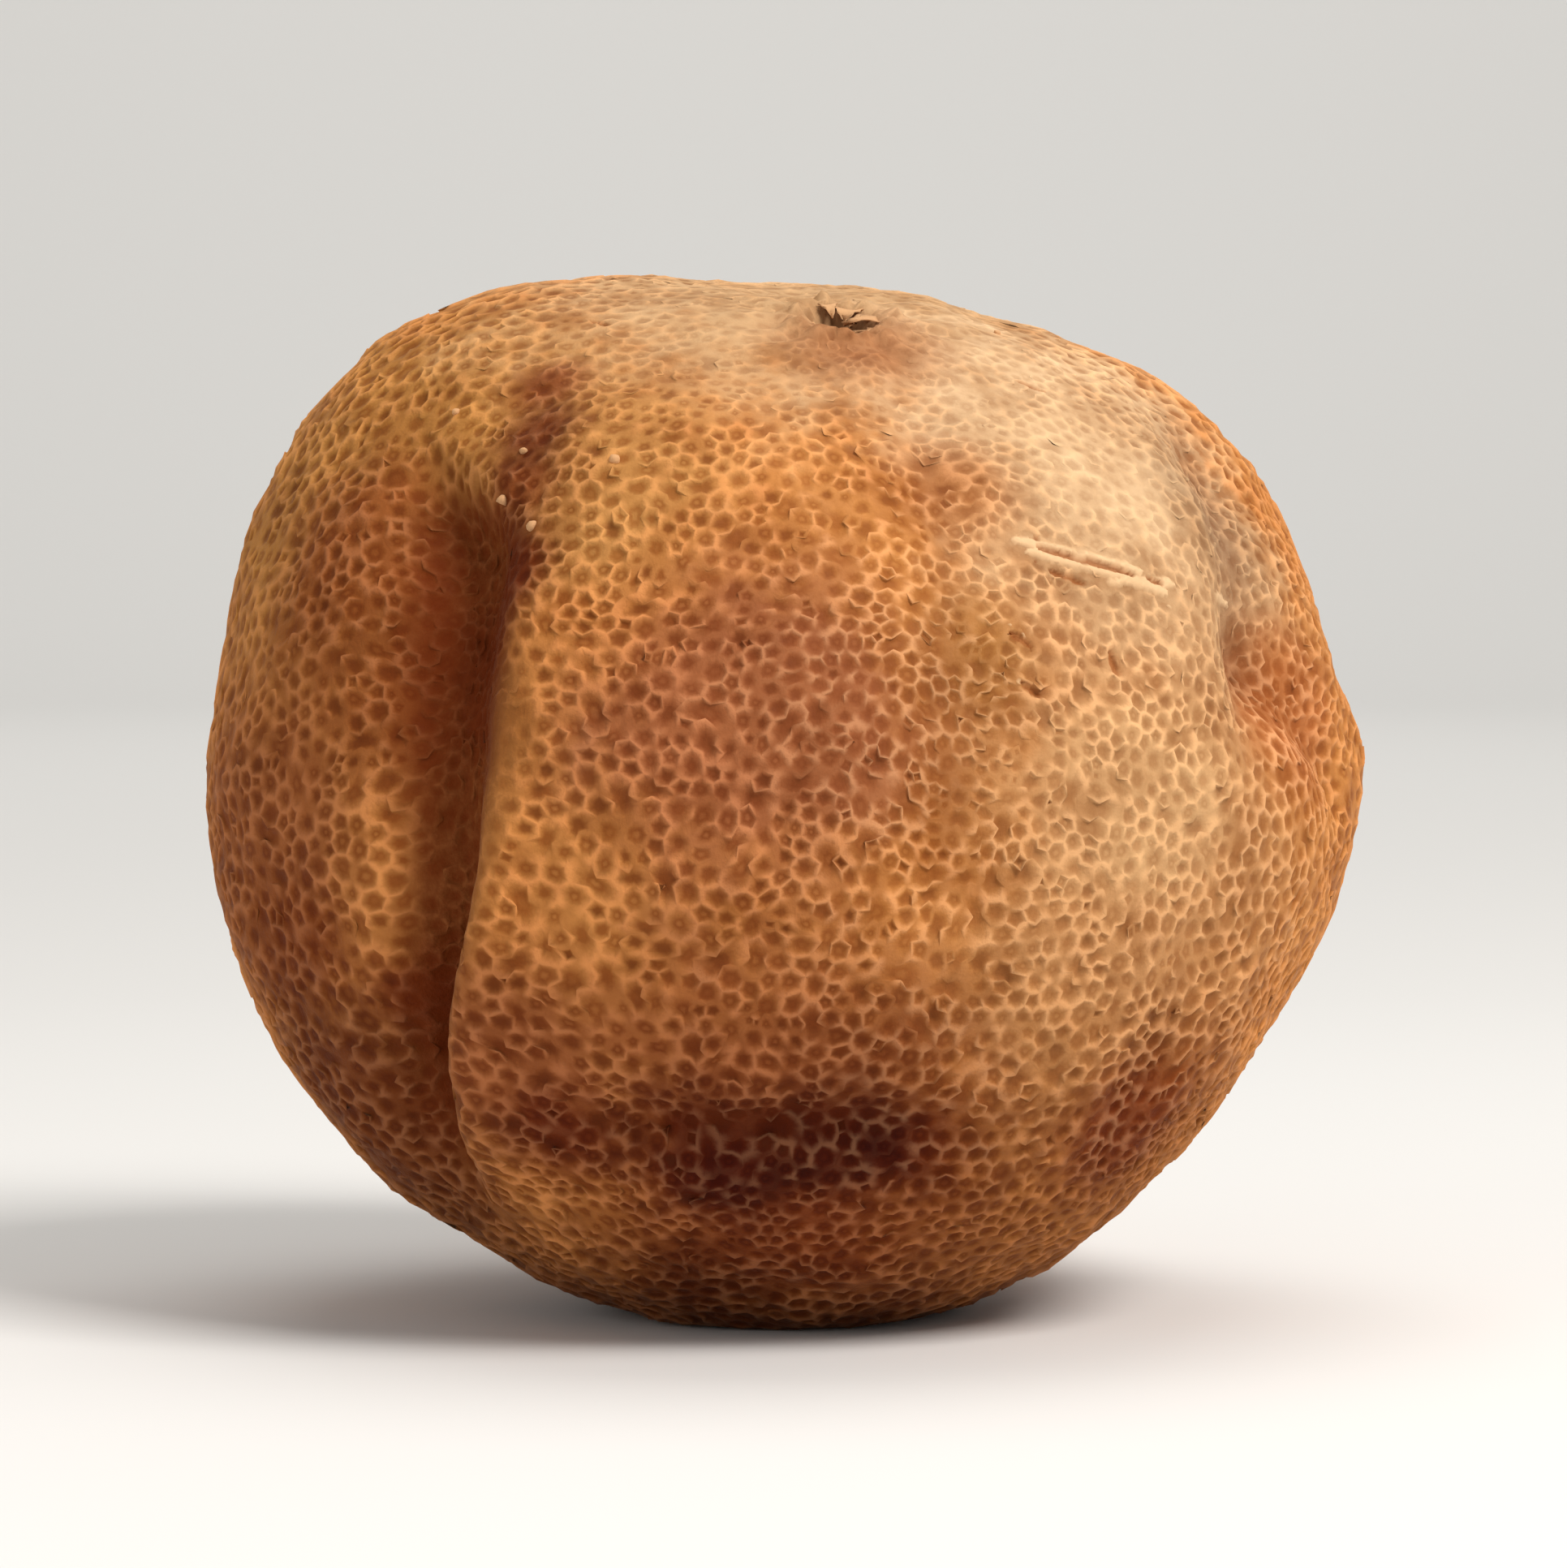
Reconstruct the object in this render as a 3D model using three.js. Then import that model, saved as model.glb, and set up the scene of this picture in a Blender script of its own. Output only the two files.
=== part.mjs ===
// Dried lime: one whole fruit, shrunk and folded as it dried, with a raised net between its oil glands.
// Millimetres, +Z up. The fruit rests on z = 0 and the origin is under its middle.
// It faces -Y: its deep crease is left of the middle there, and its stalk scar on top leans to the front.
import * as THREE from "three";
import { ConvexGeometry } from "three/addons/geometries/ConvexGeometry.js";
import { mergeVertices } from "three/addons/utils/BufferGeometryUtils.js";

const { degToRad, radToDeg, smoothstep, lerp, clamp, seededRandom } = THREE.MathUtils;

// Driving dimensions, in millimetres and degrees
const EQUATOR_RADIUS = 20.6;
const POLE_RADIUS = 18.3;
const SQUARENESS = 2.1;
const CENTRE = new THREE.Vector3(0, 0.3, 19.05);
const AXIS_LEANS_FORWARD = 20;
const AXIS_LEANS_RIGHT = 7;
const FOOT_BLEND = 0.3;

// Broad swellings and dents: compass (0 the front, 90 the right), elevation, spread, height
const SWELLINGS = [
  [-90, 46, 26, 1.95],
  [-90, -28, 26, 0.65],
  [-68, 4, 14, 0.5],
  [-49, 8, 11, -0.5],
  [-22, 40, 12, 0.5],
  [-8, 4, 24, 0.5],
  [46, 31, 14, 0.45],
  [61, 12, 10, -1],
  [75, -26, 14, -0.5],
  [88, 2, 9, 0.5],
  [90, 14, 7, -0.35],
  [90, 38, 24, 0.65],
  [90, -42, 24, -0.75],
  [120, -15, 18, 0.5],
  [150, 10, 30, -0.9],
  [175, -35, 20, -0.7],
  [-150, 25, 24, 0.6],
  [0, 88, 17, -0.55],
  [0, -90, 34, 1.15],
];

// Soft furrows: compass and elevation of the start, the same of the end, depth, half width
const FURROWS = [
  [24, 58, 14, -22, 0.6, 1.7],
  [80, 50, 54, 2, 0.7, 1.9],
  [48, 0, 40, -40, 0.35, 1.6],
  [-24, -30, 16, -31, 0.7, 1.3],
  [57, 17, 78, -3, 0.55, 1.2],
  [-100, 50, -80, -30, 0.45, 1.2],
  [-122, 50, -118, -38, 0.6, 1.4],
  [-150, 60, -160, -48, 1.1, 1.6],
  [160, 66, 150, -20, 0.5, 1.5],
  [118, 62, 112, -40, 0.9, 1.7],
];

// Deep crease: a long slope down from the left, a steep wall on the right, and a lip that rolls up beside it.
// Its line is an azimuth about the fruit's axis, curling left above a polar angle from the scar.
// Pairs run from the crease's wide upper part to its tight lower part.
const CREASE_AZIMUTH = -34;
const CREASE_CURL = 0.046;
const CREASE_CURL_POWER = 1.6;
const CREASE_CURLS_ABOVE = 92;
const CREASE_TOP = 45;
const CREASE_TOP_FADE = 8;
const CREASE_BOTTOM = 128;
const CREASE_BOTTOM_FADE = 26;
const CREASE_DEPTH = 2.5;
const CREASE_SLOPE_WIDTHS = [3.4, 2.4];
const CREASE_WALL_WIDTHS = [2.3, 0.9];
const CREASE_TIGHTENS = [62, 94];
const CREASE_REACH = 12;
const LIP_OFFSET = 1.7;
const LIP_WIDTH = 1.7;
const LIP_HEIGHT = 0.5;
const GATHER = 0.42;
const GATHER_WIDTH = 4;

// Scar where the stalk came away: a pit with a torn rim
const PIT_RADIUS = 1.15;
const PIT_DEPTH = 1.3;
const RIM_HEIGHT = 0.3;
const RIM_WIDTH = 0.5;
const SCAR_RINGS = [[0.4, 4], [1.1, 7], [2.1, 9]];
const SCAR_CLEAR_RADIUS = 3.1;
const SCAR_RING_LOOSENESS = 0.6;

// Net, larger than on the fruit: each cell is a sunken floor, and its walls rise to the ridges between knots
const CELL_COUNT = 725;
const CELL_JITTER = 0.4;
const FLOOR_SHARE = 0.62;
const CELL_SINK = 0.42;
const TOP_NET = 0.3;
const SHOULDER_NET_LOSS = 0.55;
const LIP_NET_LOSS = 0.7;
const SMOOTH_TOP_POLAR = 16;
const SMOOTH_SHOULDER = [46, 31, 24];
const SEED = 11;

const GOLDEN_ANGLE = Math.PI * (3 - Math.sqrt(5));

const bell = (distance, width) => Math.exp(-((distance / width) ** 2));
const wrapped = (angle) => THREE.MathUtils.euclideanModulo(angle + 180, 360) - 180;
const angleBetween = (a, b) => radToDeg(Math.acos(clamp(a.dot(b), -1, 1)));

// The fruit's own frame has the scar on +Z and the front on -Y
const axis = new THREE.Vector3(
  Math.tan(degToRad(AXIS_LEANS_RIGHT)), -Math.tan(degToRad(AXIS_LEANS_FORWARD)), 1).normalize();
const right = new THREE.Vector3(1, 0, 0).projectOnPlane(axis).normalize();
const fromFruitFrame = new THREE.Matrix4().makeBasis(right, axis.clone().cross(right), axis);
const toFruitFrame = fromFruitFrame.clone().transpose();

function directionAt(compass, elevation) {
  const turn = degToRad(compass);
  const rise = degToRad(elevation);
  const level = new THREE.Vector3(Math.sin(turn), -Math.cos(turn), 0).multiplyScalar(Math.cos(rise));
  return level.setZ(Math.sin(rise)).applyMatrix4(toFruitFrame);
}

const swellings = SWELLINGS.map(([compass, elevation, spread, height]) => (
  { middle: directionAt(compass, elevation), spread, height }));

const furrows = FURROWS.map(([compass, elevation, endCompass, endElevation, depth, width]) => {
  const start = directionAt(compass, elevation);
  const end = directionAt(endCompass, endElevation);
  const side = start.clone().cross(end).normalize();
  const onward = side.clone().cross(start);
  return { start, side, onward, span: Math.atan2(end.dot(onward), end.dot(start)), depth, width };
});

const smoothShoulder = directionAt(SMOOTH_SHOULDER[0], SMOOTH_SHOULDER[1]);

function bodyRadius(way) {
  const waist = Math.hypot(way.x, way.y) / EQUATOR_RADIUS;
  const height = Math.abs(way.z) / POLE_RADIUS;
  return (waist ** SQUARENESS + height ** SQUARENESS) ** (-1 / SQUARENESS);
}

function furrowDepth(way, { start, side, onward, span, depth, width }) {
  const share = Math.atan2(way.dot(onward), way.dot(start)) / span;
  const off = Math.asin(clamp(way.dot(side), -1, 1)) * EQUATOR_RADIUS;
  return depth * smoothstep(share, -0.1, 0.3) * (1 - smoothstep(share, 0.7, 1.1)) * bell(off, width);
}

// How far a direction is to the right of the crease, in millimetres, and how strong the crease is there
function besideCrease(way) {
  const polar = angleBetween(way, new THREE.Vector3(0, 0, 1));
  const line = CREASE_AZIMUTH - CREASE_CURL * Math.max(0, CREASE_CURLS_ABOVE - polar) ** CREASE_CURL_POWER;
  const perDegree = Math.max(0.01, degToRad(1) * Math.hypot(way.x, way.y) * bodyRadius(way));
  const aside = wrapped(radToDeg(Math.atan2(way.x, -way.y)) - line) * perDegree;
  const strength = smoothstep(polar, CREASE_TOP, CREASE_TOP + CREASE_TOP_FADE)
    * (1 - smoothstep(polar, CREASE_BOTTOM - CREASE_BOTTOM_FADE, CREASE_BOTTOM));
  return { polar, line, perDegree, aside, strength: Math.abs(aside) < CREASE_REACH ? strength : 0 };
}

// Draws a direction towards the crease, where the rind has shrunk together
function gathered(way) {
  const { line, perDegree, aside, strength } = besideCrease(way);
  const drawn = aside * (1 - GATHER * strength * bell(aside, GATHER_WIDTH));
  const azimuth = degToRad(line + drawn / perDegree);
  const waist = Math.hypot(way.x, way.y);
  return new THREE.Vector3(waist * Math.sin(azimuth), -waist * Math.cos(azimuth), way.z);
}

function creaseHeight(way) {
  const { polar, aside, strength } = besideCrease(way);
  const [upper, lower] = aside < 0 ? CREASE_SLOPE_WIDTHS : CREASE_WALL_WIDTHS;
  const cut = bell(aside, lerp(upper, lower, smoothstep(polar, ...CREASE_TIGHTENS)));
  return strength * (LIP_HEIGHT * bell(aside - LIP_OFFSET, LIP_WIDTH) - CREASE_DEPTH * cut);
}

function scarHeight(way) {
  const out = Math.acos(clamp(way.z, -1, 1)) * POLE_RADIUS;
  const pit = 1 - smoothstep(out, 0.5 * PIT_RADIUS, 1.2 * PIT_RADIUS);
  return RIM_HEIGHT * bell(out - 1.5 * PIT_RADIUS, RIM_WIDTH) - PIT_DEPTH * pit;
}

// The net is faint on the smooth top, on the pale shoulder, on the lip and in the scar
function netStrength(way) {
  const { polar, aside, strength } = besideCrease(way);
  const top = lerp(TOP_NET, 1, smoothstep(polar, SMOOTH_TOP_POLAR, 3 * SMOOTH_TOP_POLAR));
  const shoulder = 1 - SHOULDER_NET_LOSS * bell(angleBetween(way, smoothShoulder), SMOOTH_SHOULDER[2]);
  const lip = 1 - LIP_NET_LOSS * strength * bell(aside - LIP_OFFSET, LIP_WIDTH);
  const scar = smoothstep(degToRad(polar) * POLE_RADIUS, 2 * PIT_RADIUS, SCAR_CLEAR_RADIUS);
  return top * shoulder * lip * scar;
}

// The flat spot: the rind is pressed level at z = 0, with a soft edge
function rested(z) {
  const near = Math.max(FOOT_BLEND - Math.abs(z), 0) / FOOT_BLEND;
  return Math.max(z, 0) + (near ** 2 * FOOT_BLEND) / 4;
}

function skinPoint(direction, sink) {
  const way = gathered(direction);
  let radius = bodyRadius(way) + creaseHeight(way) + scarHeight(way) - sink * netStrength(way);
  for (const { middle, spread, height } of swellings) {
    radius += height * bell(angleBetween(way, middle), spread);
  }
  for (const furrow of furrows) radius -= furrowDepth(way, furrow);
  const point = way.multiplyScalar(radius).applyMatrix4(fromFruitFrame).add(CENTRE);
  return point.setZ(rested(point.z));
}

// Middles of the cells, spread evenly over a unit sphere and shaken a little, with rings of them in the scar
function cellMiddles() {
  seededRandom(SEED);
  const shake = CELL_JITTER * Math.sqrt((4 * Math.PI) / CELL_COUNT);
  const middles = [];
  for (let index = 0; index < CELL_COUNT; index++) {
    const height = 1 - (2 * index + 1) / CELL_COUNT;
    const waist = Math.sqrt(1 - height * height);
    const turn = index * GOLDEN_ANGLE;
    const middle = new THREE.Vector3(waist * Math.cos(turn), waist * Math.sin(turn), height);
    for (const side of ["x", "y", "z"]) middle[side] += shake * (2 * seededRandom() - 1);
    middle.normalize();
    if (Math.acos(clamp(middle.z, -1, 1)) * POLE_RADIUS > SCAR_CLEAR_RADIUS) middles.push(middle);
  }
  for (const [ringRadius, count] of SCAR_RINGS) {
    for (let index = 0; index < count; index++) {
      const turn = (2 * Math.PI * (index + SCAR_RING_LOOSENESS * seededRandom())) / count;
      middles.push(new THREE.Vector3().setFromSphericalCoords(1, ringRadius / POLE_RADIUS, turn)
        .applyAxisAngle(new THREE.Vector3(1, 0, 0), Math.PI / 2));
    }
  }
  return middles;
}

// Joins points on the unit sphere in triangles, and lists for each point its neighbours, in order round it
function neighbourRings(points) {
  const hull = new ConvexGeometry(points);
  hull.deleteAttribute("normal");
  const { index, attributes } = mergeVertices(hull, 1e-6);
  const next = Array.from({ length: attributes.position.count }, () => new Map());
  for (let corner = 0; corner < index.count; corner += 3) {
    const [first, second, third] = [0, 1, 2].map((step) => index.getX(corner + step));
    next[first].set(second, third);
    next[second].set(third, first);
    next[third].set(first, second);
  }
  return next.map((after, at) => {
    const ring = [...after.keys()].slice(0, 1);
    while (ring.length < after.size) ring.push(after.get(ring.at(-1)));
    return { middle: new THREE.Vector3().fromBufferAttribute(attributes.position, at), ring };
  });
}

const meanDirection = (points) => (
  points.reduce((sum, point) => sum.add(point), new THREE.Vector3()).normalize());

// Evens out the cells: each middle moves to the mean of its neighbours
function evened(middles) {
  const cells = neighbourRings(middles);
  return cells.map(({ ring }) => meanDirection(ring.map((at) => cells[at].middle)));
}

// The net over the whole fruit. A knot of the net lies amid each three cells that touch.
function nettedRind(middles) {
  const cells = neighbourRings(middles);
  const points = [];
  const knots = new Map();
  function knotAmid(three) {
    const key = [...three].sort((a, b) => a - b).join(" ");
    if (!knots.has(key)) {
      const way = meanDirection(three.map((at) => cells[at].middle));
      knots.set(key, { way, at: points.push(skinPoint(way, 0)) - 1 });
    }
    return knots.get(key);
  }
  const facets = [];
  cells.forEach(({ middle, ring }, cell) => {
    const corners = ring.map((at, step) => knotAmid([cell, at, ring[(step + 1) % ring.length]]));
    const floor = corners.map(({ way }) => (
      points.push(skinPoint(middle.clone().lerp(way, FLOOR_SHARE).normalize(), CELL_SINK)) - 1));
    corners.forEach(({ at: knot }, step) => {
      const onward = (step + 1) % corners.length;
      facets.push(knot, corners[onward].at, floor[onward], knot, floor[onward], floor[step]);
      if (step > 0 && onward > 0) facets.push(floor[0], floor[step], floor[onward]);
    });
  });
  const geometry = new THREE.BufferGeometry().setFromPoints(points);
  geometry.setIndex(facets);
  geometry.computeVertexNormals();
  return geometry;
}

function driedLime() {
  const rind = new THREE.MeshStandardMaterial({ color: "#c08a57", roughness: 0.7, metalness: 0 });
  const mesh = new THREE.Mesh(nettedRind(evened(cellMiddles())), rind);
  mesh.name = "dried_lime";
  return mesh;
}

const part = new THREE.Group();
part.add(driedLime());
export default part;
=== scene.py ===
"""A dried lime: a shrunken citrus fruit with a fine raised net on its rind.

It has a deep crease on the left of its front, soft furrows, and a torn scar on top where the stalk was.
"""
import math
import random

import bmesh
import bpy
from mathutils import Matrix, Vector, noise
from mathutils.bvhtree import BVHTree


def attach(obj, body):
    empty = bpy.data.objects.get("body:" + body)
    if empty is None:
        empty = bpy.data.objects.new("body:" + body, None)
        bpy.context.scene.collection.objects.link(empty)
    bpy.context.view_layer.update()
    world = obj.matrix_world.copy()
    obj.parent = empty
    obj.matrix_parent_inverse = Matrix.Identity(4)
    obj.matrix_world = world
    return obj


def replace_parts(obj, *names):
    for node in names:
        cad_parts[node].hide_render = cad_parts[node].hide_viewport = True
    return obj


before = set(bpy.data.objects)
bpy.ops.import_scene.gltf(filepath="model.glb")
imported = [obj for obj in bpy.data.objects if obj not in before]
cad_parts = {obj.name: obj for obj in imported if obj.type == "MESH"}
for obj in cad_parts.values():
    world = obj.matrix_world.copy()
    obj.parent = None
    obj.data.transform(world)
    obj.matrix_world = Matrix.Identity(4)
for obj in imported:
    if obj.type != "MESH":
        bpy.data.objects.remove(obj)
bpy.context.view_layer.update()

MM = 0.001

# Body of the fruit, in millimetres and degrees, as in its solid
EQUATOR_RADIUS = 20.6
POLE_RADIUS = 18.3
SQUARENESS = 2.1
CENTRE = Vector((0.0, 0.3, 19.05))
AXIS_LEANS_FORWARD = 20.0
AXIS_LEANS_RIGHT = 7.0
FOOT_BLEND = 0.3

# Broad swellings and dents: compass (0 the front, 90 the right), elevation, spread, height
SWELLINGS = (
    (-90, 46, 26, 1.95),
    (-90, -28, 26, 0.65),
    (-68, 4, 14, 0.5),
    (-49, 8, 11, -0.5),
    (-22, 40, 12, 0.5),
    (-8, 4, 24, 0.5),
    (46, 31, 14, 0.45),
    (61, 12, 10, -1),
    (75, -26, 14, -0.5),
    (88, 2, 9, 0.5),
    (90, 14, 7, -0.35),
    (90, 38, 24, 0.65),
    (90, -42, 24, -0.75),
    (120, -15, 18, 0.5),
    (150, 10, 30, -0.9),
    (175, -35, 20, -0.7),
    (-150, 25, 24, 0.6),
    (0, 88, 17, -0.55),
    (0, -90, 34, 1.15),
)

# Soft furrows: compass and elevation of the start, the same of the end, depth, half width
FURROWS = (
    (24, 58, 14, -22, 0.6, 1.7),
    (80, 50, 54, 2, 0.7, 1.9),
    (48, 0, 40, -40, 0.35, 1.6),
    (-24, -30, 16, -31, 0.7, 1.3),
    (57, 17, 78, -3, 0.55, 1.2),
    (-100, 50, -80, -30, 0.45, 1.2),
    (-122, 50, -118, -38, 0.6, 1.4),
    (-150, 60, -160, -48, 1.1, 1.6),
    (160, 66, 150, -20, 0.5, 1.5),
    (118, 62, 112, -40, 0.9, 1.7),
)
FURROW_OVERRUN = 0.1
FURROW_TAPER = 0.3
# How much deep furrows add to the painted shade of the crease
FURROW_PAINTED_SHADE = 0.4

# Uneven shrinking of the rind between its folds: height, and waves per radius
LUMPS = ((0.28, 3.1), (0.17, 7.3), (0.07, 17.0))

# Deep crease: a long slope from the left, a steep wall, and a lip that rolls over it from the right
CREASE_AZIMUTH = -34.0
CREASE_CURL = 0.046
CREASE_CURL_POWER = 1.6
CREASE_CURLS_ABOVE = 92.0
CREASE_TOP = 45.0
CREASE_TOP_FADE = 8.0
CREASE_BOTTOM = 128.0
CREASE_BOTTOM_FADE = 26.0
CREASE_DEPTH = 2.5
CREASE_SLOPE_WIDTHS = (3.4, 2.4)
CREASE_WALL_WIDTHS = (2.3, 0.7)
CREASE_TIGHTENS = (62.0, 94.0)
CREASE_REACH = 12.0
LIP_OFFSET = 1.7
LIP_WIDTH = 1.7
LIP_HEIGHT = 0.5
LIP_BARES = (52.0, 70.0)
LIP_BARE_OFFSETS = (2.5, 0.5)
LIP_BARE_WIDTHS = (1.9, 0.8)
LIP_ROLL = 0.7
LIP_ROLL_STARTS = (82.0, 98.0)
LIP_ROLL_ENDS = (110.0, 124.0)
LIP_ROLL_EDGE = (-0.4, 0.5)
LIP_ROLL_WIDTH = 2.2
GATHER = 0.42
GATHER_WIDTH = 4.0

# Scar where the stalk came away: a pit with a torn rim, and puckers round it
PIT_RADIUS = 1.2
PIT_DEPTH = 1.4
PIT_WALL = (0.5, 1.15)
PIT_RAGGEDNESS = 0.45
PIT_RAGS_PER_RADIUS = 28.0
RIM_HEIGHT = 0.3
RIM_WIDTH = 0.5
RIM_OFFSET = 1.5
RIM_TEARS_PER_RADIUS = 40.0
PUCKERS = 11.0
PUCKER_HEIGHT = 0.11
PUCKER_DISTANCE = 3.0
PUCKER_WIDTH = 1.8
SCAR_GATHER = 0.5
SCAR_GATHER_SPREAD = 9.0

# Torn flakes round the pit: azimuth from the front, length, half width, rise, in degrees and millimetres
FLAKES_FOOT = 6.0
FLAKE_SUNK = 0.04
FLAKE_DROOP = 0.35
FLAKE_CUP = 0.2
FLAKE_THICKNESS = 0.05
# Share of the crumbs' pale colour on the flakes: partly their own dry colour, partly painted light that keeps
# their shaded undersides pale
FLAKE_PALE = 0.8
FLAKE_RIDGE = 0.6
FLAKES = (
    (172.0, 0.6, 0.6, 0.05),
    (206.0, 0.55, 0.35, 0.08),
    (132.0, 0.9, 0.28, 0.14),
    (100.0, 1.2, 0.3, 0.12),
    (72.0, 0.8, 0.26, 0.08),
    (250.0, 0.4, 0.3, 0.05),
)

# Net of the rind: ridges between sunken cells
SPHERE_CUTS = 6
CELL_SHAKE = 0.47
MERGED_SHARE = 0.08
EVENING = 2
FINER_TOWARDS = (25.0, 20.0)
FINER_BY = 0.13
WANDER = 0.009
WANDER_PER_RADIUS = 15.0
FIRST_INSET = 0.0001
FLOOR_SHARE = 0.48
FLOOR_ROUNDNESS = 0.75
FLOOR_RAGGEDNESS = 0.15
FLOOR_SHARE_SHAKE = 0.13
MERGED_ROUNDNESS = 0.4
MERGED_FROM_SIDES = 8
NET_HEIGHT = 0.125
STRONG_KNOTS = 0.56
STRONG_KNOTS_VARY = 0.5
KNOTS_PER_RADIUS = 9.0
STRONG_KNOT = (0.7, 1.0)
WEAK_KNOT = (0.0, 0.35)
WEAK_RIDGE_LIFT = 0.2
FLOOR_LIFTS = (-0.25, 0.1)
MIDDLE_LIFTS = (-0.7, 0.55)
DRAWN_TOGETHER = (67.0, 5.0, 10.0)
DRAWN_SHARE = 0.58
SMOOTH_TOP_POLAR = 14.0
SMOOTH_TOP_NET = 0.3
LIP_NET_LOST = 0.75
SMOOTH_PLACES = ((46.0, 31.0, 22.0, 0.6), (-40.0, 50.0, 20.0, 0.35), (-64.0, 12.0, 25.0, 0.45))
SEED = 11

# Scratch and slits seen on the front: place across and up of both ends, half width, all in millimetres
RAISED_EDGES = (
    ((7.8, 28.25), (12.4, 27.1), 0.26),
    ((8.3, 27.85), (13.3, 26.35), 0.26),
    ((11.2, 26.75), (15.6, 25.9), 0.26),
)
SLITS = (
    ((8.7, 27.98), (12.1, 26.98), 0.17),
    ((9.1, 27.2), (10.4, 26.7), 0.12),
    ((12.5, 26.9), (13.1, 26.7), 0.13),
    ((7.7, 25.15), (8.5, 24.6), 0.14),
    ((8.1, 23.45), (8.8, 22.9), 0.14),
    ((11.2, 24.5), (11.45, 23.6), 0.16),
    ((8.3, 33.8), (9.3, 33.4), 0.13),
    ((13.2, 32.0), (13.9, 31.3), 0.14),
    ((14.2, 31.0), (14.4, 30.1), 0.13),
    ((-6.9, 36.0), (-6.1, 35.8), 0.13),
)
EDGE_HEIGHT = 0.09
SLIT_DEPTH = 0.14
FINE_CUTS = 3
FINE_MARGIN = 0.3
PRESSED_MARGIN = 0.12
STROKES_ABOVE = 21.0
PRESSED_SMOOTH = 30
STROKE_RAGGEDNESS = 0.35
STROKE_RAGS_PER_METRE = 1500.0
STROKE_CORE = 0.3
STROKE_TIP, STROKE_SWELL = 0.25, 0.95

# Crumbs on the front: place across and up, radius, in millimetres
CRUMBS = (
    (-5.8, 31.0, 0.2),
    (-9.0, 31.3, 0.14),
    (-8.6, 28.7, 0.18),
    (-9.65, 29.6, 0.2),
    (-11.5, 32.7, 0.13),
    (7.7, 35.6, 0.13),
)
CRUMB_RAGS_PER_METRE = 4000.0
CRUMB_RAGGEDNESS = 0.5


def bell(distance, width):
    return math.exp(-((distance / width) ** 2))


def ramp(value, start, end):
    share = min(1.0, max(0.0, (value - start) / (end - start)))
    return share * share * (3.0 - 2.0 * share)


def mixed(low, high, share):
    return low + (high - low) * share


def wrapped(angle):
    return (angle + 180.0) % 360.0 - 180.0


def angle_between(a, b):
    return math.degrees(math.acos(max(-1.0, min(1.0, a.dot(b)))))


# The fruit's own frame has the scar on +Z and the front on -Y
AXIS = Vector(
    (math.tan(math.radians(AXIS_LEANS_RIGHT)), -math.tan(math.radians(AXIS_LEANS_FORWARD)), 1.0)
).normalized()
RIGHT = (Vector((1.0, 0.0, 0.0)) - AXIS * AXIS.x).normalized()
FROM_FRUIT_FRAME = Matrix((RIGHT, AXIS.cross(RIGHT), AXIS)).transposed()
TO_FRUIT_FRAME = FROM_FRUIT_FRAME.transposed()


def direction_at(compass, elevation):
    turn, rise = math.radians(compass), math.radians(elevation)
    level = math.cos(rise)
    return TO_FRUIT_FRAME @ Vector((level * math.sin(turn), -level * math.cos(turn), math.sin(rise)))


def furrow_line(compass, elevation, end_compass, end_elevation, depth, width):
    start, end = direction_at(compass, elevation), direction_at(end_compass, end_elevation)
    side = start.cross(end).normalized()
    onward = side.cross(start)
    return start, side, onward, math.atan2(end.dot(onward), end.dot(start)), depth, width


swellings = [(direction_at(compass, rise), spread, height) for compass, rise, spread, height in SWELLINGS]
furrows = [furrow_line(*values) for values in FURROWS]
smooth_places = [(direction_at(*values[:2]), *values[2:]) for values in SMOOTH_PLACES]
drawn_together = direction_at(*DRAWN_TOGETHER[:2])
finer_towards = direction_at(*FINER_TOWARDS)


def body_radius(way):
    waist = math.hypot(way.x, way.y) / EQUATOR_RADIUS
    height = abs(way.z) / POLE_RADIUS
    return (waist**SQUARENESS + height**SQUARENESS) ** (-1.0 / SQUARENESS)


def furrow_depth(way, start, side, onward, span, depth, width):
    share = math.atan2(way.dot(onward), way.dot(start)) / span
    if not -FURROW_OVERRUN < share < 1.0 + FURROW_OVERRUN:
        return 0.0
    off = math.asin(max(-1.0, min(1.0, way.dot(side)))) * EQUATOR_RADIUS
    opening = ramp(share, -FURROW_OVERRUN, FURROW_TAPER)
    closing = 1.0 - ramp(share, 1.0 - FURROW_TAPER, 1.0 + FURROW_OVERRUN)
    return depth * opening * closing * bell(off, width)


def beside_crease(way):
    """Where a direction is beside the crease.

    Gives the polar angle, the crease's azimuth there, millimetres per degree, millimetres to its right,
    and the crease's strength.
    """
    polar = angle_between(way, Vector((0.0, 0.0, 1.0)))
    line = CREASE_AZIMUTH - CREASE_CURL * max(0.0, CREASE_CURLS_ABOVE - polar) ** CREASE_CURL_POWER
    per_degree = max(0.01, math.radians(1.0) * math.hypot(way.x, way.y) * body_radius(way))
    aside = wrapped(math.degrees(math.atan2(way.x, -way.y)) - line) * per_degree
    strength = ramp(polar, CREASE_TOP, CREASE_TOP + CREASE_TOP_FADE)
    strength *= 1.0 - ramp(polar, CREASE_BOTTOM - CREASE_BOTTOM_FADE, CREASE_BOTTOM)
    return polar, line, per_degree, aside, strength if abs(aside) < CREASE_REACH else 0.0


def turned_to(way, azimuth):
    waist, turn = math.hypot(way.x, way.y), math.radians(azimuth)
    return Vector((waist * math.sin(turn), -waist * math.cos(turn), way.z))


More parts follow.
